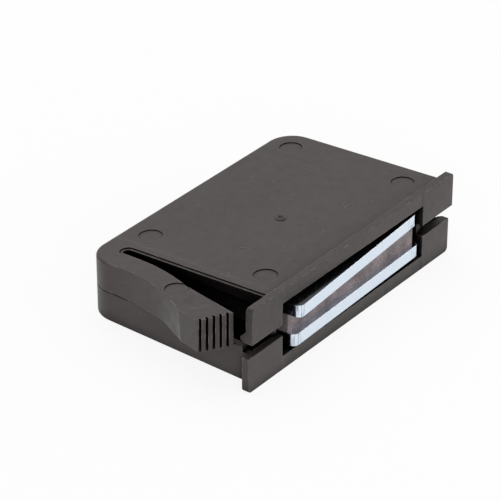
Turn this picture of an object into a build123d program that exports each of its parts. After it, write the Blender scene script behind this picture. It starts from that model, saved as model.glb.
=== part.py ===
"""Push to open catch: a snap-in magnetic touch latch for a panel cut-out.

Frame: X along the flange, +Y from the flange's front face to the rear, +Z up.
The origin is in the middle of the magnetic face, on the plane of the flange's front.
The two shells are one moulding, used twice: the lower is turned half a turn about Y.
All sizes are in millimetres.
"""
from math import radians, sin, cos, tan
import os

from build123d import *

os.makedirs("parts", exist_ok=True)

# Housing
flange_height = 13.1        # over both halves
flange_thickness = 1.1
flange_arm_end = 24.7       # half's end over its own snap arm, from the middle
flange_plain_end = 25.6     # its other end
flange_gap = 1.85           # between the halves' end tabs
flange_corner = 0.7
body_width = 48.8
body_front_height = 11.4    # at the flange
body_rear_height = 9.4      # the body narrows for insertion
housing_depth = 30.4
rear_corner = 4.2
edge_round = 0.4
wall = 1.0
parting_bevel = 0.12
relief_length = 0.8

# Chamber of the magnet carriage
window_width = 35.2
window_height = 8.65
chamber_wall = 1.1
plate_bay_depth = 14.0      # full window height as far back as this

# Snap arm
slot_lip = 0.6              # roof's overhang past the chamber wall
slot_rebate = 0.5           # shallow step round the slot
slot_rebate_depth = 0.15
arm_slot_width = 1.5        # at the arm's root
arm_root_wall = 3.8         # behind the slot's rounded end
arm_reach = 30.0            # outer corner of the ribbed end, from the middle
arm_end_width = 4.6
arm_end_slant = 2.85        # outer corner lies this far behind the inner one
arm_end_gap = 1.6           # behind the flange
arm_end_flat = 3.9          # straight stretch of the outer side at the end
arm_end_flare = 0.9
arm_draft = 4.0             # degrees
arm_parting_gap = 0.15
# Points of the arm's sides as shares of its length and flare
arm_sweep_outer = ((0.82, 0.04), (0.65, 0.18), (0.505, 0.39), (0.44, 0.56))
arm_sweep_inner = ((0.26, 0.76), (0.43, 0.54), (0.62, 0.22))
arm_tangents_outer = ((0, -1), (-0.7, -1))
arm_tangents_inner = ((0.2, 1), (0, 1))
rib_count = 6
rib_groove = 0.38
rib_groove_depth = 0.45
rib_first = 0.55            # outer corner to the first groove's middle, in pitches
rib_last = 0.85             # last groove's middle to the inner corner, in pitches
tab_bead_height = 1.8
tab_bead_depth = 0.9

# Marks of the mould on the outside
pin_mark_radius = 1.8
pin_mark_depth = 0.12
pin_mark_centre = (2.8, 15.8)
pin_mark_spread = (17.2, 10.4)
arm_pin_mark = (-24.6, 13.3)
gate_mark = (0.6, 13.8)
gate_mark_radius = 1.2
gate_mark_depth = 0.16
thumb_dish = (-25.9, 9.0)
thumb_dish_radius = 1.9
thumb_dish_depth = 0.2

# Pegs that register the shells
peg_radius = 0.9
peg_length = 2.0
peg_clearance = 0.05
peg_inset = 2.9             # from the rear face
peg_boss_wall = 0.8
inner_peg_x = 15.5
outer_peg_x = 21.6

# Magnet and pole plates
plate_length = 32.4
plate_depth = 12.0
plate_thickness = 2.0
plate_corner = 1.0
plate_edge = 0.1
plate_hole = 1.75           # radius
pivot_to_front = 9.0
plate_proud = 0.65          # in front of the flange
upper_plate_skew = 3.7      # degrees, how the loose plates lie
lower_plate_skew = 1.25
magnet_length = 31.2
magnet_depth = 6.1
magnet_thickness = 2.8
magnet_recess = 0.9         # behind the plates
magnet_offset = -0.2
magnet_edge = 0.2

# Carriage
travel_out = 5.0
travel_in = 1.2
slide_clearance = 0.3
block_length = 9.6
block_height = 6.4
tongue_width = 18.0
tongue_clearance = 0.06
boss_radius = 1.5
boss_short = 0.15           # boss ends below the plate's outer face
lug_length = 3.0
lug_height = 1.8
lug_start = 1.0             # behind the block's front
lug_clearance = 0.25
stop_clearance = 0.05

# Springs
spring_x = 10.5
spring_radius = 2.0
spring_wire = 0.45          # diameter
spring_turns = 8
spring_sides = 16           # straight runs in one turn
spring_bore_clearance = 0.3
spring_bore_depth = 7.0
spigot_length = 3.0
spigot_clearance = 0.2

# Heart track and its wire follower
channel_width = 9.2
channel_depth = 1.1
track_depth = 1.0
lobe_radius = 0.9
lobe_spread = 1.15
lobe_setback = 0.55
heart_length = 3.3
heart_tip = 0.35
track_lane = 1.3
notch_from_front = 2.5      # behind the block's front
follower_wire = 0.7         # diameter
follower_clearance = 0.1
follower_bend = 0.7
anchor_x = 2.5
anchor_radius = 1.4
anchor_reach = 2.0          # past the parting plane
anchor_leg = 2.6
anchor_inset = 2.9          # from the rear face

# Derived sizes
body_half = body_width / 2
front_half = body_front_height / 2
rear_half = body_rear_height / 2
flange_half = flange_height / 2
taper = (front_half - rear_half) / (housing_depth - flange_thickness)
chamber_half = window_width / 2
window_half = window_height / 2
chamber_outer = chamber_half + chamber_wall
slot_edge = chamber_outer + slot_lip
chamber_rear = housing_depth - wall
arm_slot_end = housing_depth - arm_root_wall
compartment_rear = arm_slot_end - wall
pivot_y = pivot_to_front - plate_proud
plate_rear = pivot_y - pivot_to_front + plate_depth
plate_swing = plate_length / 2 * sin(radians(upper_plate_skew))
block_front = plate_rear + plate_swing + slide_clearance
block_rear = block_front + block_length
block_half = block_height / 2
carriage_half = chamber_half - slide_clearance
lug_y = (block_front + lug_start, block_front + lug_start + lug_length)
lower_plate_z = -plate_thickness - magnet_thickness / 2
magnet_z = lower_plate_z + plate_thickness
upper_plate_z = magnet_z + magnet_thickness
magnet_front = magnet_recess - plate_proud
magnet_rear = magnet_front + magnet_depth
spring_front = block_rear - spring_bore_depth
notch_y = block_front + notch_from_front
channel_floor = block_half - channel_depth
follower_radius = follower_wire / 2
follower_z = channel_floor + follower_radius + follower_clearance
anchor_y = housing_depth - anchor_inset
peg_y = housing_depth - peg_inset


def roof(y, cover=0.0):
    """Half height of the body at depth y, less a cover."""
    return front_half - taper * (y - flange_thickness) - cover


def wedge(y_front, y_rear, x_low, x_high, cover, mode):
    """Half wedge above the parting plane that follows the body's taper."""
    with BuildSketch(Plane.YZ.offset(x_low)) as profile:
        with BuildLine():
            Polyline(
                (y_front, 0),
                (y_front, roof(y_front, cover)),
                (y_rear, roof(y_rear, cover)),
                (y_rear, 0),
                close=True,
            )
        make_face()
    extrude(profile.sketch, amount=x_high - x_low, mode=mode)


def box_between(x, y, z, mode=Mode.ADD):
    """Box between two values on each axis."""
    with Locations(((x[0] + x[1]) / 2, (y[0] + y[1]) / 2, (z[0] + z[1]) / 2)):
        Box(x[1] - x[0], y[1] - y[0], z[1] - z[0], mode=mode)


def shallow_dish(centre, radius, depth):
    """Part of a ball's hollow in the roof, at a place in plan."""
    ball_radius = (radius**2 + depth**2) / (2 * depth)
    with Locations((centre[0], centre[1], roof(centre[1]) + ball_radius - depth)):
        Sphere(ball_radius, mode=Mode.SUBTRACT)


def save(name, part):
    """Label a piece and write it."""
    part.label = name
    export_step(part, f"parts/{name}.step")


# Snap arm, with its slanted ribbed end, before it joins the shell
arm_root_outer = body_half
arm_root_inner = slot_edge + arm_slot_width
arm_root_y = housing_depth - rear_corner
arm_length = arm_root_y - flange_thickness
arm_flare = arm_reach - arm_root_outer
arm_end_inner = (-arm_reach + arm_end_width, flange_thickness + arm_end_gap)
arm_end_outer = (-arm_reach, arm_end_inner[1] + arm_end_slant)
arm_crease = (-arm_reach + arm_end_flare, arm_end_outer[1] + arm_end_flat)
arm_inner_flare = -arm_end_inner[0] - arm_root_inner


def arm_outline(z, inset):
    """Plan of the arm at height z, its outer side pulled in by the inset."""
    outer_end = Vector(arm_end_outer) + Vector(inset, 0)
    crease = Vector(arm_crease) + Vector(inset, 0)
    slot_end = arm_slot_end - arm_slot_width / 2
    with BuildSketch(Plane.XY.offset(z)) as outline:
        with BuildLine():
            Spline(
                (-arm_root_outer, arm_root_y),
                *[
                    (-arm_root_outer - (arm_flare - inset) * flare, flange_thickness + arm_length * along)
                    for along, flare in arm_sweep_outer
                ],
                crease,
                tangents=arm_tangents_outer,
            )
            Line(crease, outer_end)
            Line(outer_end, arm_end_inner)
            Spline(
                arm_end_inner,
                *[
                    (-arm_root_inner - arm_inner_flare * flare, flange_thickness + arm_length * along)
                    for along, flare in arm_sweep_inner
                ],
                (-arm_root_inner, slot_end),
                tangents=arm_tangents_inner,
            )
            Polyline(
                (-arm_root_inner, slot_end),
                (-arm_root_inner, arm_root_y),
                (-arm_root_outer, arm_root_y),
            )
        make_face()
    return outline.sketch


with BuildPart() as snap_arm:
    arm_inset = (flange_half - arm_parting_gap) * tan(radians(arm_draft))
    loft([arm_outline(flange_half, 0), arm_outline(arm_parting_gap, arm_inset)], ruled=True)
    # Top face in line with the tapered roof
    with BuildSketch(Plane.YZ):
        with BuildLine():
            Polyline(
                (-1, roof(-1)),
                (housing_depth, roof(housing_depth)),
                (housing_depth, flange_height),
                (-1, flange_height),
                close=True,
            )
        make_face()
    extrude(amount=arm_reach + 2, both=True, mode=Mode.SUBTRACT)
    # Grooves between the ribs of the end face
    end_run = (arm_end_inner[0] - arm_end_outer[0], arm_end_inner[1] - arm_end_outer[1])
    end_length = (end_run[0] ** 2 + end_run[1] ** 2) ** 0.5
    rib_pitch = end_length / (rib_first + rib_count - 2 + rib_last)
    end_plane = Plane(
        origin=(arm_end_outer[0], arm_end_outer[1], 0),
        x_dir=(end_run[0], end_run[1], 0),
        z_dir=(0, 0, 1),
    )
    with BuildSketch(end_plane):
        for i in range(rib_count - 1):
            with Locations(((rib_first + i) * rib_pitch, 0)):
                Rectangle(rib_groove, 2 * rib_groove_depth)
    extrude(amount=flange_height, mode=Mode.SUBTRACT)


# One shell moulding, standing above the parting plane
roof_plane = Plane((0, flange_thickness, front_half), x_dir=(1, 0, 0), z_dir=(0, taper, 1))
with BuildPart() as upper_shell:
    wedge(flange_thickness, housing_depth, -body_half, body_half, 0, Mode.ADD)
    fillet(upper_shell.edges().filter_by(Axis.Z).group_by(Axis.Y)[-1], rear_corner)
    top_rim = upper_shell.faces().sort_by(Axis.Z)[-1].edges()
    fillet(top_rim.filter_by(lambda e: e.center().Y > flange_thickness + edge_round), edge_round)
    parting_rim = upper_shell.faces().sort_by(Axis.Z)[0].edges()
    chamfer(parting_rim.filter_by(lambda e: e.center().Y > flange_thickness + edge_round), parting_bevel)

    # Flange half, with an end tab on each side of the window
    with BuildSketch(Plane.XZ) as flange_face:
        with BuildLine():
            Polyline(
                (-flange_arm_end, flange_gap / 2),
                (flange_plain_end, flange_gap / 2),
                (flange_plain_end, flange_half),
                (-flange_arm_end, flange_half),
                close=True,
            )
        make_face()
        fillet(flange_face.vertices().group_by(Axis.Y)[-1], flange_corner)
    extrude(amount=-flange_thickness)

    # Chamber, open at the window, and the hollow above the other shell's arm
    wedge(flange_thickness, chamber_rear, -chamber_half, chamber_half, wall, Mode.SUBTRACT)
    box_between(
        (-chamber_half, chamber_half), (-1, plate_bay_depth), (-1, window_half), Mode.SUBTRACT
    )
    wedge(flange_thickness, compartment_rear, chamber_outer, body_half - wall, wall, Mode.SUBTRACT)

    # Slot that frees the snap arm
    with BuildSketch(Plane.XY):
        with BuildLine():
            slot_round = arm_slot_width / 2
            Polyline(
                (-slot_edge, arm_slot_end - slot_round),
                (-slot_edge, flange_thickness),
                (-arm_reach, flange_thickness),
                (-arm_reach, arm_slot_end - slot_round),
                (-slot_edge - arm_slot_width, arm_slot_end - slot_round),
            )
            ThreePointArc(
                (-slot_edge - arm_slot_width, arm_slot_end - slot_round),
                (-slot_edge - slot_round, arm_slot_end),
                (-slot_edge, arm_slot_end - slot_round),
            )
        make_face()
    extrude(amount=flange_height, mode=Mode.SUBTRACT)
    box_between(
        (-slot_edge, -chamber_outer),
        (flange_thickness, arm_slot_end - slot_round),
        (0, roof(arm_slot_end, wall)),
        Mode.SUBTRACT,
    )
    with BuildSketch(roof_plane):
        with Locations((-slot_edge - slot_round, (arm_slot_end - flange_thickness - slot_round) / 2)):
            Rectangle(arm_slot_width + 2 * slot_rebate, arm_slot_end - flange_thickness - slot_round)
        with Locations((-slot_edge - slot_round, arm_slot_end - flange_thickness - slot_round)):
            Circle(slot_round + slot_rebate)
    extrude(amount=-slot_rebate_depth, mode=Mode.SUBTRACT)
    add(snap_arm.part)

    # Marks of ejector pins and gate, and the dish for a thumb on the arm
    with BuildSketch(roof_plane):
        with Locations((pin_mark_centre[0], pin_mark_centre[1] - flange_thickness)):
            with GridLocations(2 * pin_mark_spread[0], 2 * pin_mark_spread[1], 2, 2):
                Circle(pin_mark_radius)
        with Locations((arm_pin_mark[0], arm_pin_mark[1] - flange_thickness)):
            Circle(pin_mark_radius)
    extrude(amount=-pin_mark_depth, mode=Mode.SUBTRACT)
    shallow_dish(gate_mark, gate_mark_radius, gate_mark_depth)
    shallow_dish(thumb_dish, thumb_dish_radius, thumb_dish_depth)

    # Bead along the gap on the back of the tab over the arm
    with BuildSketch(Plane.YZ.offset(-flange_arm_end)):
        with BuildLine():
            Polyline(
                (flange_thickness, flange_gap / 2),
                (flange_thickness + tab_bead_depth, flange_gap / 2 + edge_round),
                (flange_thickness + tab_bead_depth, flange_gap / 2 + tab_bead_height / 2),
                (flange_thickness, flange_gap / 2 + tab_bead_height),
                close=True,
            )
        make_face()
    extrude(amount=flange_arm_end - slot_edge)

    # Relief where the side wall meets the flange at the parting plane
    box_between(
        (body_half - 2 * wall, body_half + wall),
        (flange_thickness, flange_thickness + relief_length),
        (-1, flange_gap / 2),
        Mode.SUBTRACT,
    )

    # Slots in the chamber's side walls for the carriage's lugs
    for side in (-1, 1):
        walls = sorted((side * (chamber_half - wall), side * (chamber_outer + slot_lip / 2)))
        box_between(
            walls,
            (lug_y[0] - travel_out - stop_clearance, lug_y[1] + travel_in + stop_clearance),
            (-1, lug_height / 2 + lug_clearance),
            Mode.SUBTRACT,
        )

    # Half spigots that centre the springs
    with BuildSketch(Plane.XZ.offset(-chamber_rear)):
        with Locations((-spring_x, 0), (spring_x, 0)):
            Circle(spring_radius - spring_wire - spigot_clearance)
        Rectangle(body_width, spring_radius * 2, align=(Align.CENTER, Align.MAX), mode=Mode.SUBTRACT)
    extrude(amount=spigot_length)

    # Peg bosses, pegs and sockets
    with BuildSketch(Plane.XY):
        with Locations((-inner_peg_x, peg_y), (inner_peg_x, peg_y)):
            Circle(peg_radius + peg_boss_wall)
            with Locations((0, peg_inset / 2)):
                Rectangle(peg_radius * 2, peg_inset)
    extrude(amount=rear_half - wall / 2)
    with BuildSketch(Plane.XY):
        with Locations((inner_peg_x, peg_y), (-outer_peg_x, peg_y)):
            Circle(peg_radius)
    extrude(amount=-peg_length)
    with BuildSketch(Plane.XY):
        with Locations((-inner_peg_x, peg_y), (outer_peg_x, peg_y)):
            Circle(peg_radius + peg_clearance)
    extrude(amount=peg_length + peg_clearance, mode=Mode.SUBTRACT)

    # Anchor post for a wire follower
    with BuildSketch(Plane.XY.offset(-anchor_reach)):
        with Locations((-anchor_x, anchor_y)):
            Circle(anchor_radius)
    extrude(amount=anchor_reach + rear_half - wall / 2)
    with BuildSketch(Plane.XY.offset(-anchor_reach)):
        with Locations((-anchor_x, anchor_y)):
            Circle(follower_radius + stop_clearance)
    extrude(amount=anchor_leg, mode=Mode.SUBTRACT)
save("upper_shell", upper_shell.part)

with BuildPart() as lower_shell:
    add(upper_shell.part.rotate(Axis.Y, 180))
save("lower_shell", lower_shell.part)


def pole_plate(z, skew):
    """Loose plate that turns about the carriage's boss."""
    turned = Plane((0, pivot_y, z), x_dir=(cos(radians(skew)), sin(radians(skew)), 0), z_dir=(0, 0, 1))
    with BuildPart() as plate:
        with BuildSketch(turned) as outline:
            with Locations((0, plate_depth / 2 - pivot_to_front)):
                RectangleRounded(plate_length, plate_depth, plate_corner)
            Circle(plate_hole, mode=Mode.SUBTRACT)
        extrude(amount=plate_thickness)
        chamfer(plate.edges().filter_by(GeomType.LINE).group_by(Axis.Z)[0], plate_edge)
    return plate


lower_pole_plate = pole_plate(lower_plate_z, lower_plate_skew)
save("lower_pole_plate", lower_pole_plate.part)
upper_pole_plate = pole_plate(upper_plate_z, upper_plate_skew)
save("upper_pole_plate", upper_pole_plate.part)

with BuildPart() as magnet:
    box_between(
        (magnet_offset - magnet_length / 2, magnet_offset + magnet_length / 2),
        (magnet_front, magnet_rear),
        (magnet_z, magnet_z + magnet_thickness),
    )
    chamfer(magnet.edges().filter_by(Axis.Z), magnet_edge)
save("magnet", magnet.part)

# Carriage: a tongue between the plates, and a block that slides in the chamber
with BuildPart() as carriage:
    box_between((-carriage_half, carriage_half), (block_front, block_rear), (-block_half, block_half))
    chamfer(carriage.edges().filter_by(Axis.Z), edge_round)
    box_between(
        (-tongue_width / 2, tongue_width / 2),
        (magnet_rear + tongue_clearance, block_front),
        (magnet_z + tongue_clearance, upper_plate_z - tongue_clearance),
    )
    with BuildSketch(Plane.XY.offset(lower_plate_z + boss_short)):
        with Locations((0, pivot_y)):
            Circle(boss_radius)
    extrude(amount=2 * plate_thickness + magnet_thickness - 2 * boss_short)
    lug_tip = chamber_outer - slide_clearance
    box_between((-lug_tip, lug_tip), lug_y, (-lug_height / 2, lug_height / 2))
    # Bores for the springs
    with BuildSketch(Plane.XZ.offset(-block_rear)):
        with Locations((-spring_x, 0), (spring_x, 0)):
            Circle(spring_radius + spring_bore_clearance)
    extrude(amount=spring_bore_depth, mode=Mode.SUBTRACT)
    # Channel for the wire, and the heart track in its floor
    box_between(
        (-channel_width / 2, channel_width / 2),
        (block_front, block_rear),
        (channel_floor, block_half),
        Mode.SUBTRACT,
    )
    heart_y = notch_y + lobe_setback
    with BuildSketch(Plane.XY.offset(channel_floor)) as track:
        with Locations((-lobe_spread, heart_y), (lobe_spread, heart_y)):
            Circle(lobe_radius + track_lane)
        with Locations((0, notch_y + heart_length)):
            Circle(heart_tip + track_lane / 2)
        make_hull()
        with Locations((0, notch_y + travel_out / 2)):
            Rectangle(follower_wire + 2 * lug_clearance, travel_out)
        with Locations((0, notch_y + travel_out)):
            Circle(follower_radius + lug_clearance)
    extrude(amount=-track_depth, mode=Mode.SUBTRACT)
    with BuildSketch(Plane.XY.offset(channel_floor)) as heart:
        with Locations((-lobe_spread, heart_y), (lobe_spread, heart_y)):
            Circle(lobe_radius)
        with Locations((0, notch_y + heart_length)):
            Circle(heart_tip)
        make_hull()
        with Locations((0, notch_y)):
            Circle(follower_radius + stop_clearance, mode=Mode.SUBTRACT)
        with Locations((0, notch_y)):
            Rectangle(
                follower_wire + 2 * stop_clearance,
                lobe_radius,
                align=(Align.CENTER, Align.MAX),
                mode=Mode.SUBTRACT,
            )
    extrude(amount=-track_depth)
save("carriage", carriage.part)


def compression_spring(x):
    """Coil between the bottom of its bore and the chamber's rear wall."""
    coil_radius = spring_radius - spring_wire / 2
    coil_length = chamber_rear - spring_front - spring_wire - 2 * stop_clearance
    coil_start = spring_front + spring_wire / 2 + stop_clearance
    with BuildPart() as spring:
        with BuildLine() as coil:
            Polyline(
                [
                    (
                        x + coil_radius * cos(radians(360 * i / spring_sides)),
                        coil_start + coil_length * i / (spring_sides * spring_turns),
                        coil_radius * sin(radians(360 * i / spring_sides)),
                    )
                    for i in range(spring_sides * spring_turns + 1)
                ]
            )
        with BuildSketch(Plane(origin=coil.line @ 0, z_dir=coil.line % 0)):
            RegularPolygon(spring_wire / 2, 6)
        sweep(transition=Transition.RIGHT)
    return spring


spring_left = compression_spring(-spring_x)
save("spring_left", spring_left.part)
spring_right = compression_spring(spring_x)
save("spring_right", spring_right.part)

# Wire follower: anchored in the lower shell's post, its tip resting in the heart's notch
with BuildPart() as wire_follower:
    with BuildLine() as wire_path:
        FilletPolyline(
            (anchor_x, anchor_y, follower_z - anchor_leg),
            (anchor_x, anchor_y, follower_z),
            (0, notch_y, follower_z),
            (0, notch_y, channel_floor - track_depth + stop_clearance),
            radius=follower_bend,
        )
    with BuildSketch(Plane(origin=wire_path.line @ 0, z_dir=wire_path.line % 0)):
        Circle(follower_radius)
    sweep()
save("wire_follower", wire_follower.part)
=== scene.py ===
"""Push to open catch: finishes, small moulded and worn details, studio and camera.

Frame: X along the flange, +Y to the rear, +Z up, in metres.
"""

from math import atan2, cos, radians, sin

import bmesh
import bpy
from mathutils import Matrix, Vector


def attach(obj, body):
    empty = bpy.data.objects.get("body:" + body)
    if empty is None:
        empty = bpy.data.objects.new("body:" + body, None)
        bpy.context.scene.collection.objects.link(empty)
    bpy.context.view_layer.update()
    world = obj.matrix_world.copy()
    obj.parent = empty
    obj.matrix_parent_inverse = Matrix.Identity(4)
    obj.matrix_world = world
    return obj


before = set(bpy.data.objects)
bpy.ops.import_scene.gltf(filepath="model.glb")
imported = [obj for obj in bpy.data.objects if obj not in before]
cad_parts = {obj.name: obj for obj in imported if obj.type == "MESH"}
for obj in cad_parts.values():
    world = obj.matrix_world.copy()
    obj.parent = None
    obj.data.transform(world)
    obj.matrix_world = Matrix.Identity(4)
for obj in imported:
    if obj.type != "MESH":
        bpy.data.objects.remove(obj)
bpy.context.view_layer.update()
MM = 0.001


# ---------------------------------------------------------------- small helpers

def srgb(code):
    """Linear RGBA of an sRGB hex value."""
    channels = [int(code[i:i + 2], 16) / 255 for i in (1, 3, 5)]
    return [c / 12.92 if c <= 0.04045 else ((c + 0.055) / 1.055) ** 2.4 for c in channels] + [1.0]


def put(tree, kind, settings=None, **links):
    """Add a node: settings go on its attributes, links and values on its inputs."""
    node = tree.nodes.new(kind)
    for name, value in (settings or {}).items():
        setattr(node, name, value)
    for name, value in links.items():
        socket = node.inputs[int(name[1:])] if name[1:].isdigit() else node.inputs[name.replace("_", " ")]
        if isinstance(value, bpy.types.NodeSocket):
            tree.links.new(value, socket)
        else:
            socket.default_value = value
    return node


def blend_colours(tree, share, first, second):
    """Colour that goes from first to second as share goes from 0 to 1."""
    return put(tree, "ShaderNodeMix", {"data_type": "RGBA"}, _0=share, _6=first, _7=second).outputs[2]


def blend_shaders(tree, share, first, second):
    """Shader that goes from first to second as share goes from 0 to 1."""
    return put(tree, "ShaderNodeMixShader", _0=share, _1=first, _2=second).outputs[0]


def calc(tree, operation, *values):
    """Result of a Math node on up to three values."""
    inputs = {f"_{number}": value for number, value in enumerate(values)}
    return put(tree, "ShaderNodeMath", {"operation": operation}, **inputs).outputs[0]


def remap(tree, value, span, result=(0.0, 1.0), curve="LINEAR"):
    """Value carried from its span onto the result, and held at both ends."""
    return put(tree, "ShaderNodeMapRange", {"interpolation_type": curve}, Value=value,
               From_Min=span[0], From_Max=span[1], To_Min=result[0], To_Max=result[1]).outputs["Result"]


def new_material(name):
    """Empty material with its output node; returns the material, its tree and the output."""
    material = bpy.data.materials.new(name)
    material.use_nodes = True
    tree = material.node_tree
    tree.nodes.clear()
    return material, tree, tree.nodes.new("ShaderNodeOutputMaterial")


def per_metre(size_mm):
    """Texture scale whose features are about size_mm across."""
    return 1 / (size_mm * MM)


def noise(tree, place, size_mm, **more):
    """Noise whose features are about size_mm across."""
    return put(tree, "ShaderNodeTexNoise", Vector=place, Scale=per_metre(size_mm), **more).outputs["Fac"]


def cells(tree, place, size_mm):
    """Voronoi cells about size_mm across: their random tone, and the distance from their middle."""
    node = put(tree, "ShaderNodeTexVoronoi", Vector=place, Scale=per_metre(size_mm))
    return node.outputs["Color"], node.outputs["Distance"]


def rounded_normal(tree, radius_mm, samples):
    """Normal that rounds the corners over the radius."""
    return put(tree, "ShaderNodeBevel", {"samples": samples}, Radius=radius_mm * MM).outputs["Normal"]


def open_share(tree, reach_mm, only_local=False):
    """How open a spot is within the reach: 0 in a deep recess, 1 on a free face."""
    settings = {"samples": 8, "only_local": only_local}
    return put(tree, "ShaderNodeAmbientOcclusion", settings, Distance=reach_mm * MM).outputs["AO"]


def from_middle(tree, place):
    """Distance from the middle along the flange."""
    return calc(tree, "ABSOLUTE", put(tree, "ShaderNodeSeparateXYZ", Vector=place).outputs["X"])


def coat(tree, output, **values):
    """Connect a Principled shader with these values to the output."""
    shader = put(tree, "ShaderNodeBsdfPrincipled", **values)
    tree.links.new(shader.outputs["BSDF"], output.inputs["Surface"])


# ---------------------------------------------------------------- camera

view_azimuth, view_elevation = radians(-52.995), radians(29.976)
camera_back, camera_right, camera_up = 380.825, -15.164, 9.875      # mm from the aim point
flange_foot = 6.54                                                  # mm below the origin
camera_lens, camera_sensor = 187.847, 36                            # mm
clip_range = (0.01, 20)                                             # metres

back = Vector((
    sin(view_azimuth) * cos(view_elevation),
    -cos(view_azimuth) * cos(view_elevation),
    sin(view_elevation),
))
right = Vector((cos(view_azimuth), sin(view_azimuth), 0))
up = back.cross(right)
camera_place = (camera_back * back + camera_right * right + camera_up * up) * MM
camera_place.z -= flange_foot * MM
camera_data = bpy.data.cameras.new("camera")
camera_data.lens = camera_lens
camera_data.sensor_width = camera_sensor
camera_data.clip_start, camera_data.clip_end = clip_range
camera = bpy.data.objects.new("camera", camera_data)
bpy.context.scene.collection.objects.link(camera)
camera.matrix_world = Matrix.Translation(camera_place) @ Matrix((right, up, back)).transposed().to_4x4()
bpy.context.scene.camera = camera


# ---------------------------------------------------------------- finishes

def moulded_nylon(name, base, roughness):
    """Injection-moulded nylon: warm black, a satin sheen, faint flow marks and
    an orange-peel skin, dull scuffs from handling, pale dust specks, a painted
    highlight on the corners and painted shade in the recesses."""
    flow_size, scuff_size, peel_size, wave_size = 9, 1.6, 0.4, 14
    speck_spacing, speck_patch = 1.7, 6
    chamber_wall = (16.9 * MM, 18.0 * MM)       # from the middle, where the face sinks
    arm_reach = (21 * MM, 24.6 * MM)            # from the middle, where the arm takes over
    material, tree, output = new_material(name)
    place = put(tree, "ShaderNodeTexCoord").outputs["Object"]
    # Flow marks: broad, soft bands drawn out along the flange
    flow_place = put(tree, "ShaderNodeMapping", Vector=place, Scale=(0.35, 1, 1)).outputs["Vector"]
    flow = noise(tree, flow_place, flow_size, Detail=3)
    # Scuffs: finer, broken patches
    scuff = noise(tree, place, scuff_size, Detail=5, Roughness=0.7)
    # Dust and fluff: a few specks in patches, up to 0.3 mm across
    speck_tone, speck_distance = cells(tree, place, speck_spacing)
    speck = calc(tree, "LESS_THAN", speck_distance, calc(tree, "MULTIPLY", speck_tone, 0.09))
    dusty_patch = calc(tree, "GREATER_THAN", noise(tree, place, speck_patch), 0.57)
    speck_strength = calc(tree, "MULTIPLY", calc(tree, "MULTIPLY", speck, dusty_patch), 0.35)
    tones = blend_colours(tree, flow, srgb(base[0]), srgb(base[1]))
    dusty = blend_colours(tree, speck_strength, tones, srgb("#b9b4ae"))
    # Corners: a painted highlight, a paler colour over about 0.3 mm, broken here and there by the scuff noise
    facing = put(tree, "ShaderNodeNewGeometry").outputs["Normal"]
    flatness = put(tree, "ShaderNodeVectorMath", {"operation": "DOT_PRODUCT"},
                   _0=facing, _1=rounded_normal(tree, 0.3, 6)).outputs["Value"]
    corner = remap(tree, flatness, (0.995, 0.9), (0.0, 0.8))
    painted_corner_highlight = calc(tree, "MULTIPLY", corner, remap(tree, scuff, (0.48, 0.62)))
    with_corner_highlight = blend_colours(tree, painted_corner_highlight, dusty, srgb("#857b76"))
    # Painted shade in recesses: seams, slots and the chamber are darkened towards near black, by how open
    # each spot is
    near_light = remap(tree, open_share(tree, 4), (0.3, 0.8))
    far_light = remap(tree, open_share(tree, 14, only_local=True), (0.55, 0.92))
    light_share = calc(tree, "MULTIPLY", near_light, far_light)
    shaded = blend_colours(tree, light_share, srgb("#050404"), with_corner_highlight)
    # The sheen is dimmed by the same painted shade
    sheen = calc(tree, "MULTIPLY", light_share, 0.36)
    gloss = remap(tree, scuff, (0.3, 0.75), roughness)

    # Sink marks: a shallow line over each wall of the chamber, on the slow waves of shrinkage
    across = from_middle(tree, place)
    sink = remap(tree, across, chamber_wall, curve="SMOOTHSTEP")
    height = calc(tree, "MULTIPLY_ADD", sink, 0.5, noise(tree, place, wave_size, Detail=1))
    # The thin snap arms cooled unevenly, so their faces wave most
    wave_strength = remap(tree, across, arm_reach, (0.6, 1.0))
    wavy = put(tree, "ShaderNodeBump", Height=height, Strength=wave_strength, Distance=0.3 * MM,
               Normal=rounded_normal(tree, 0.14, 4)).outputs["Normal"]
    # Skin: a fine orange peel
    skin = put(tree, "ShaderNodeBump", Height=noise(tree, place, peel_size, Detail=2), Strength=0.35,
               Distance=0.012 * MM, Normal=wavy).outputs["Normal"]
    coat(tree, output, Base_Color=shaded, Roughness=gloss, IOR=1.53, Specular_IOR_Level=sheen, Normal=skin)
    return material


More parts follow.
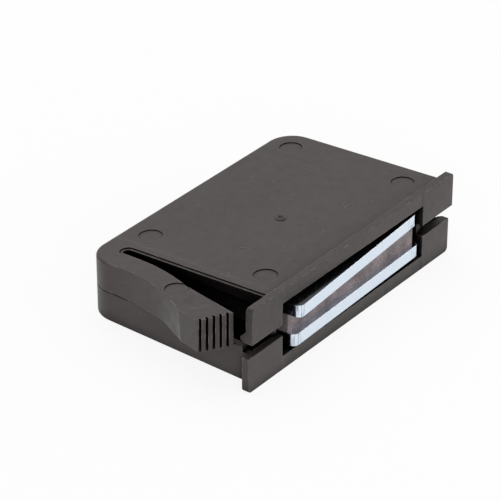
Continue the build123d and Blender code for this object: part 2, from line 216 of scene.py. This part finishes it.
def zinc_plated_steel():
    """Bright zinc plate on stamped steel: blue-white, mirror-like with fine die
    lines across the cut edges and a few small dark nicks."""
    shear_size, blotch_size, nick_spacing = 0.3, 2.5, 1.3
    plate_end = (13.8 * MM, 15.2 * MM)          # from the middle, where the edge turns
    material, tree, output = new_material("bright_zinc_plated_steel")
    where = put(tree, "ShaderNodeTexCoord")
    place = where.outputs["Object"]
    # Shear lines of the stamped edge stand upright, about 0.3 mm apart
    shear_place = put(tree, "ShaderNodeMapping", Vector=place, Scale=(1, 1, 0.12)).outputs["Vector"]
    shear = noise(tree, shear_place, shear_size, Detail=3)
    tint = blend_colours(tree, noise(tree, place, blotch_size, Detail=3), srgb("#d2e0ee"), srgb("#e2ebf5"))
    nick_tone, nick_distance = cells(tree, place, nick_spacing)
    nicks = calc(tree, "LESS_THAN", nick_distance, calc(tree, "MULTIPLY_ADD", nick_tone, 0.3, -0.17))
    worn = blend_colours(tree, calc(tree, "MULTIPLY", nicks, 0.8), tint, srgb("#6d7680"))
    # The ends, where the edge turns, carry dark and bright die streaks
    dark_line = remap(tree, shear, (0.5, 0.62), (0.0, 0.65))
    at_end = remap(tree, from_middle(tree, place), plate_end)
    streaked = blend_colours(tree, calc(tree, "MULTIPLY", dark_line, at_end), worn, srgb("#6f7b88"))
    gloss = remap(tree, shear, (0.3, 0.7), (0.14, 0.24))
    # The rolled faces, above and below, are smooth: the lines are on cut edges only
    upright = put(tree, "ShaderNodeSeparateXYZ", Vector=where.outputs["Normal"]).outputs["Z"]
    cut_share = remap(tree, calc(tree, "ABSOLUTE", upright), (0.9, 0.3), (0.0, 0.35))
    lines = put(tree, "ShaderNodeBump", Height=shear, Strength=cut_share, Distance=0.02 * MM,
                Normal=rounded_normal(tree, 0.12, 4)).outputs["Normal"]
    coat(tree, output, Base_Color=streaked, Metallic=1.0, Roughness=gloss, Normal=lines)
    return material


def hard_ferrite():
    """Sintered ferrite: brown-grey and matt, with fine grains in broad stains."""
    grain_size, stain_size = 0.35, 4
    material, tree, output = new_material("sintered_ferrite")
    place = put(tree, "ShaderNodeTexCoord").outputs["Object"]
    grain = noise(tree, place, grain_size, Detail=6, Roughness=0.75)
    stain = noise(tree, place, stain_size, Detail=2)
    ramp = put(tree, "ShaderNodeValToRGB", Fac=calc(tree, "MULTIPLY", grain, stain))
    for stop, (position, colour) in zip(ramp.color_ramp.elements, ((0.12, "#473e3f"), (0.42, "#9b8f92"))):
        stop.position = position
        stop.color = srgb(colour)
    bump = put(tree, "ShaderNodeBump", Height=grain, Strength=0.5, Distance=0.05 * MM).outputs["Normal"]
    coat(tree, output, Base_Color=ramp.outputs["Color"], Roughness=0.6, Normal=bump)
    return material


def spring_steel():
    """Drawn stainless wire: grey and bright, with a finely broken sheen."""
    draw_size = 0.2
    material, tree, output = new_material("drawn_stainless_wire")
    place = put(tree, "ShaderNodeTexCoord").outputs["Object"]
    draw = noise(tree, place, draw_size, Detail=2)
    gloss = remap(tree, draw, (0.0, 1.0), (0.2, 0.4))
    tint = blend_colours(tree, draw, srgb("#8e9092"), srgb("#b9bbbc"))
    coat(tree, output, Base_Color=tint, Metallic=1.0, Roughness=gloss)
    return material


nylon = moulded_nylon("moulded_black_nylon", ("#2f2928", "#403937"), (0.34, 0.52))
slide_nylon = moulded_nylon("moulded_black_acetal", ("#1b1a1a", "#201f1f"), (0.35, 0.45))
zinc = zinc_plated_steel()
ferrite = hard_ferrite()
wire = spring_steel()
finishes = {
    "upper_shell": nylon,
    "lower_shell": nylon,
    "carriage": slide_nylon,
    "upper_pole_plate": zinc,
    "lower_pole_plate": zinc,
    "magnet": ferrite,
    "spring_left": wire,
    "spring_right": wire,
    "wire_follower": wire,
}
for node, finish in finishes.items():
    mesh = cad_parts[node].data
    mesh.materials.clear()
    mesh.materials.append(finish)


# ---------------------------------------------------------------- small added pieces

body_front_half, body_rear_half = 5.7, 4.7      # half heights of the body
body_front_y, body_rear_y = 1.1, 30.4


def top_height(y):
    """Height of the upper shell's outer face at depth y."""
    share = (y - body_front_y) / (body_rear_y - body_front_y)
    return body_front_half + share * (body_rear_half - body_front_half)


def add_piece(name, mesh, material):
    """Put a mesh, made in place, on the housing."""
    mesh.materials.clear()
    mesh.materials.append(material)
    piece = bpy.data.objects.new(name, mesh)
    bpy.context.scene.collection.objects.link(piece)
    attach(piece, "housing")


def settled(holder):
    """Mesh of an object after its modifiers, or of a curve with its thickness."""
    bpy.context.scene.collection.objects.link(holder)
    ready = holder.evaluated_get(bpy.context.evaluated_depsgraph_get())
    mesh = bpy.data.meshes.new_from_object(ready)
    bpy.data.objects.remove(holder)
    return mesh


def flat_finish(name, colours, roughness):
    """Matt finish with a mottled tone, for specks too small to show more."""
    material, tree, output = new_material(name)
    place = put(tree, "ShaderNodeTexCoord").outputs["Object"]
    mottle = noise(tree, place, 0.5, Detail=2)
    tone = blend_colours(tree, mottle, srgb(colours[0]), srgb(colours[1]))
    coat(tree, output, Base_Color=tone, Roughness=roughness)
    return material


lint = flat_finish("paper_lint", ("#6e6965", "#a39d97"), 0.9)

# Gate vestige: the broken stub of the runner, a ringed crater in its dimple
gate_place = (0.6, 13.8)
gate_dimple = 0.16          # depth
gate_profile = (            # radius and height, from the crater out
    (0.1, 0.14), (0.25, 0.1), (0.4, 0.26), (0.55, 0.32), (0.75, 0.2), (1.05, 0.02), (1.05, -0.12),
)
gate_sides = 28


def gate_vestige(name, turn):
    """Ring of the profile, closed below, set in the dimple and turned with its shell."""
    shape = bmesh.new()
    rings = []
    for radius, height in gate_profile:
        turns = [radians(360 * step / gate_sides) for step in range(gate_sides)]
        rings.append([shape.verts.new((radius * cos(t), radius * sin(t), height)) for t in turns])
    for inner, outer in zip(rings, rings[1:]):
        for step in range(gate_sides):
            after = (step + 1) % gate_sides
            shape.faces.new((inner[step], outer[step], outer[after], inner[after]))
    shape.faces.new(rings[0])
    shape.faces.new(list(reversed(rings[-1])))
    bmesh.ops.recalc_face_normals(shape, faces=shape.faces)
    for face in shape.faces:
        face.smooth = True
    foot = Vector((*gate_place, top_height(gate_place[1]) - gate_dimple))
    shape.transform(Matrix.Scale(MM, 4) @ turn @ Matrix.Translation(foot))
    mesh = bpy.data.meshes.new(name)
    shape.to_mesh(mesh)
    shape.free()
    add_piece(name, mesh, nylon)


gate_vestige("upper_gate_vestige", Matrix.Identity(4))
gate_vestige("lower_gate_vestige", Matrix.Rotation(radians(180), 4, "Y"))

# Settled dust: grains strewn over the upper face by a rule
dust_radius = 0.055
dust_count_per_square_mm = 0.05
dust_seed = 11
dust_area = ((-14, 3), (22, 3), (22, 27), (-14, 27))
smallest_grain, largest_grain = (0.4, 0.4, 0.4), (1.8, 1.3, 0.9)    # scale along each axis

strew = bpy.data.node_groups.new("settled_dust", "GeometryNodeTree")
for socket_name, kind in (("Geometry", "NodeSocketGeometry"), ("Grain Radius", "NodeSocketFloat"),
                          ("Density", "NodeSocketFloat"), ("Seed", "NodeSocketInt")):
    strew.interface.new_socket(socket_name, in_out="INPUT", socket_type=kind)
strew.interface.new_socket("Geometry", in_out="OUTPUT", socket_type="NodeSocketGeometry")
given = put(strew, "NodeGroupInput")
points = put(strew, "GeometryNodeDistributePointsOnFaces", Mesh=given.outputs["Geometry"],
             Density=given.outputs["Density"], Seed=given.outputs["Seed"])
grain = put(strew, "GeometryNodeMeshIcoSphere", Radius=given.outputs["Grain Radius"], Subdivisions=2)
grain_size = put(strew, "FunctionNodeRandomValue", {"data_type": "FLOAT_VECTOR"},
                 _0=smallest_grain, _1=largest_grain, Seed=given.outputs["Seed"])
strewn = put(strew, "GeometryNodeInstanceOnPoints", Points=points.outputs["Points"],
             Instance=grain.outputs["Mesh"], Scale=grain_size.outputs[0])
solid = put(strew, "GeometryNodeRealizeInstances", Geometry=strewn.outputs["Instances"])
painted = put(strew, "GeometryNodeSetMaterial", Geometry=solid.outputs["Geometry"], Material=lint)
put(strew, "NodeGroupOutput", Geometry=painted.outputs["Geometry"])

dust_patch = bpy.data.meshes.new("dust_patch")
dust_patch.from_pydata([Vector((x, y, top_height(y))) * MM for x, y in dust_area], [], [(0, 1, 2, 3)])
dust_holder = bpy.data.objects.new("dust_holder", dust_patch)
rule = dust_holder.modifiers.new("settled_dust", "NODES")
rule.node_group = strew
rule_inputs = {item.name: item.identifier for item in strew.interface.items_tree if item.in_out == "INPUT"}
rule[rule_inputs["Grain Radius"]] = dust_radius * MM
rule[rule_inputs["Density"]] = dust_count_per_square_mm / MM ** 2
rule[rule_inputs["Seed"]] = dust_seed
add_piece("settled_dust", settled(dust_holder), lint)

# Lint: short curled fibres, lying on the upper face
fibre_radius = 0.025
fibres = (                  # where each starts, its heading, its curl per step, its steps
    ((9.6, 7.2), 100, 24, 7),
    ((8.9, 8.4), 35, -20, 6),
    ((-9.8, 11.6), 70, 15, 6),
    ((15.6, 19.8), 140, -30, 5),
)
fibre_step = 0.3
for number, ((x, y), heading, curl, steps) in enumerate(fibres, 1):
    thread = bpy.data.curves.new("fibre", "CURVE")
    thread.dimensions = "3D"
    thread.bevel_depth = fibre_radius * MM
    thread.use_fill_caps = True
    line = thread.splines.new("POLY")
    line.points.add(steps)
    for step in range(steps + 1):
        line.points[step].co = (*(Vector((x, y, top_height(y) + fibre_radius)) * MM), 1)
        x += fibre_step * cos(radians(heading))
        y += fibre_step * sin(radians(heading))
        heading += curl
    add_piece(f"lint_fibre_{number}", settled(bpy.data.objects.new("fibre", thread)), lint)


# ---------------------------------------------------------------- studio

rest_front = Vector((0, 0.5, -6.55)) * MM       # flange's lower edge
rest_rear = Vector((0, 30.4, -4.7)) * MM        # rear of the lower shell
floor_tilt = atan2(rest_rear.z - rest_front.z, rest_rear.y - rest_front.y)
floor_turn = Matrix.Translation(rest_front) @ Matrix.Rotation(floor_tilt, 4, "X")

floor_half = 3                                  # metres
floor_lit_share = 0.86                          # of what a camera or glossy ray sees

floor_mesh = bpy.data.meshes.new("floor")
shaper = bmesh.new()
bmesh.ops.create_grid(shaper, x_segments=1, y_segments=1, size=floor_half)
shaper.to_mesh(floor_mesh)
shaper.free()
floor = bpy.data.objects.new("floor", floor_mesh)
floor.matrix_world = floor_turn
bpy.context.scene.collection.objects.link(floor)
floor_material, floor_tree, floor_output = new_material("studio_floor")
floor_paint = put(floor_tree, "ShaderNodeBsdfDiffuse", Color=srgb("#e8e8e6"))
floor_lit = put(floor_tree, "ShaderNodeEmission", Color=srgb("#ffffff"), Strength=1.03)
floor_rays = put(floor_tree, "ShaderNodeLightPath")
floor_seen = calc(floor_tree, "MAXIMUM", floor_rays.outputs["Is Camera Ray"],
                  floor_rays.outputs["Is Glossy Ray"])
floor_share = calc(floor_tree, "MULTIPLY", floor_seen, floor_lit_share)
floor_mix = blend_shaders(floor_tree, floor_share, floor_paint.outputs["BSDF"], floor_lit.outputs["Emission"])
floor_tree.links.new(floor_mix, floor_output.inputs["Surface"])
floor_mesh.materials.append(floor_material)

world = bpy.data.worlds.new("studio")
bpy.context.scene.world = world
world.use_nodes = True
world_tree = world.node_tree
world_tree.nodes.clear()
rays = put(world_tree, "ShaderNodeLightPath")
ambient = put(world_tree, "ShaderNodeBackground", Color=srgb("#ffffff"), Strength=0.5)
shown = put(world_tree, "ShaderNodeBackground", Color=srgb("#ffffff"), Strength=1.0)
# What the glossy faces mirror: a pale wall behind that dims towards the ceiling
gaze = put(world_tree, "ShaderNodeTexCoord").outputs["Generated"]
gaze_height = put(world_tree, "ShaderNodeSeparateXYZ", Vector=gaze).outputs["Z"]
wall_light = remap(world_tree, gaze_height, (0.33, 0.65), (0.9, 0.35))
mirrored = put(world_tree, "ShaderNodeBackground", Color=srgb("#fffcfa"), Strength=wall_light)
unseen = blend_shaders(world_tree, rays.outputs["Is Glossy Ray"], ambient.outputs[0], mirrored.outputs[0])
either = blend_shaders(world_tree, rays.outputs["Is Camera Ray"], unseen, shown.outputs[0])
put(world_tree, "ShaderNodeOutputWorld", Surface=either)


lamp_aim = Vector((0, 15, 0)) * MM


def softbox(name, place_mm, power, size_mm):
    """Square area lamp that faces the object's middle."""
    lamp_data = bpy.data.lights.new(name, "AREA")
    lamp_data.energy = power
    lamp_data.size = size_mm * MM
    lamp = bpy.data.objects.new(name, lamp_data)
    lamp.location = Vector(place_mm) * MM
    lamp.rotation_euler = (lamp.location - lamp_aim).to_track_quat("Z", "Y").to_euler()
    bpy.context.scene.collection.objects.link(lamp)


softboxes = (               # name, place in mm, power in watts, side in mm
    ("overhead_softbox", (150, 250, 500), 1.2, 500),
    ("left_softbox", (-500, -150, 250), 0.35, 350),
    ("front_softbox", (150, -500, 200), 0.45, 350),
    ("front_left_softbox", (-350, -450, 120), 0.6, 250),
    ("near_softbox", (150, -110, 50), 0.03, 60),
)
for softbox_facts in softboxes:
    softbox(*softbox_facts)

bpy.context.scene.view_settings.view_transform = "Standard"
